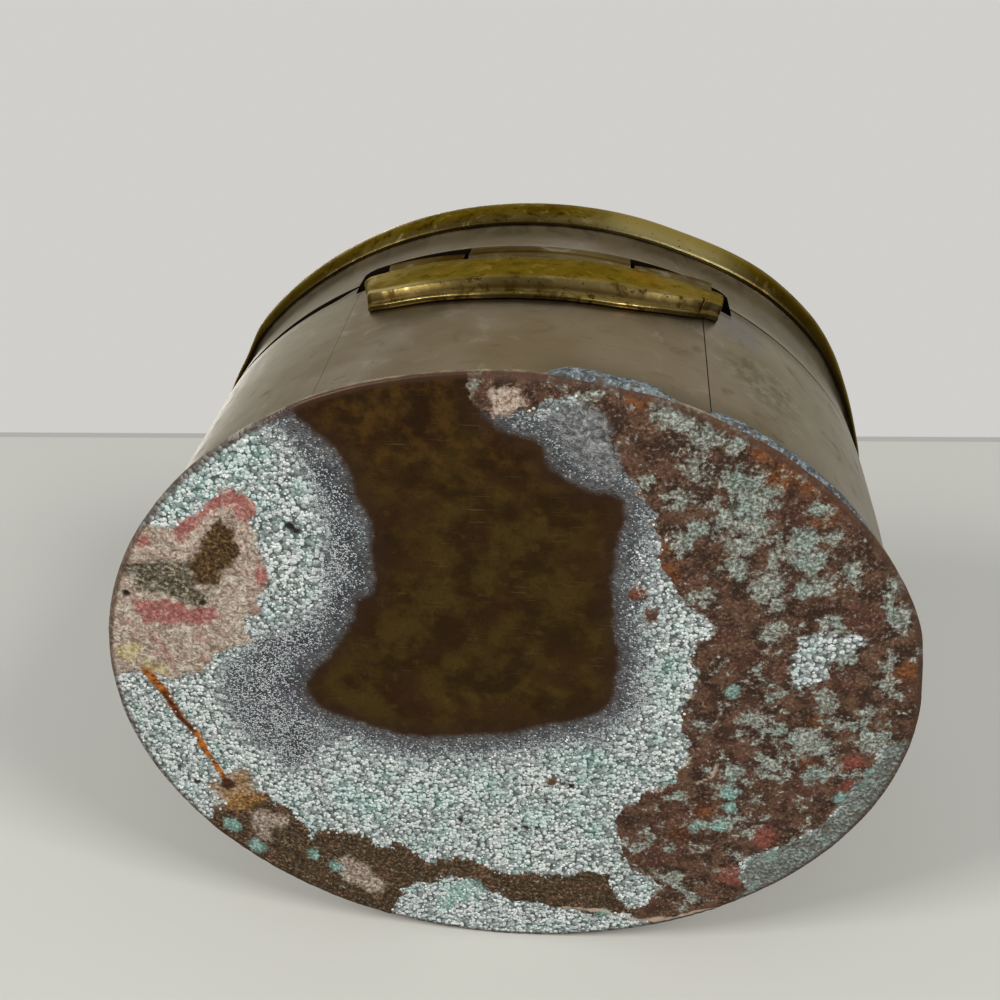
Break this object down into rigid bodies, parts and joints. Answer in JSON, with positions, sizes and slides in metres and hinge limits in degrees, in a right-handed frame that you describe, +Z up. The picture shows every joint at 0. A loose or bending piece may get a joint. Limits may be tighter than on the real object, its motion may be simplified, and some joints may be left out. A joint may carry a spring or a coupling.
{
  "type": "oval hinged trinket box",
  "caption": "Oval metal box on a thin base plate, with a domed lid that swings on a knuckle hinge behind a curved hinge strap.",
  "frame": {"origin": "middle of the base plate's underside", "axes": "+Z up with the box standing on its base and the lid closed, +X along the oval's long axis, +Y towards the hinge side"},
  "size_m": [0.1042, 0.0902, 0.0603],
  "materials": {
    "corroded_base": "heavily corroded plated brass, with grey, brown and green crust",
    "worn_silver_plate": "worn silver plate with the warm base metal showing through, satin",
    "tarnished_brass": "dark olive tarnished brass, half polished",
    "inner_brass": "plain brass, satin",
    "pin_steel": "dull steel wire"
  },
  "bodies": {
    "box": {"base_plate": "corroded_base", "wall_band": "worn_silver_plate", "back_panel": "worn_silver_plate", "locating_rim": "inner_brass", "hinge_strap": "tarnished_brass", "body_knuckle_left": "worn_silver_plate", "body_knuckle_right": "worn_silver_plate", "hinge_pin": "pin_steel"},
    "lid": {"lid_knuckle": "worn_silver_plate", "lid_skirt": "worn_silver_plate", "lid_moulding": "tarnished_brass", "lid_panel": "worn_silver_plate"}
  },
  "joints": [
    {"name": "lid_hinge", "type": "hinge", "parent": "box", "child": "lid", "pos_m": [-0.0029, 0.04, 0.04], "axis": [-1, 0, 0], "range_deg": [0, 95]}
  ]
}
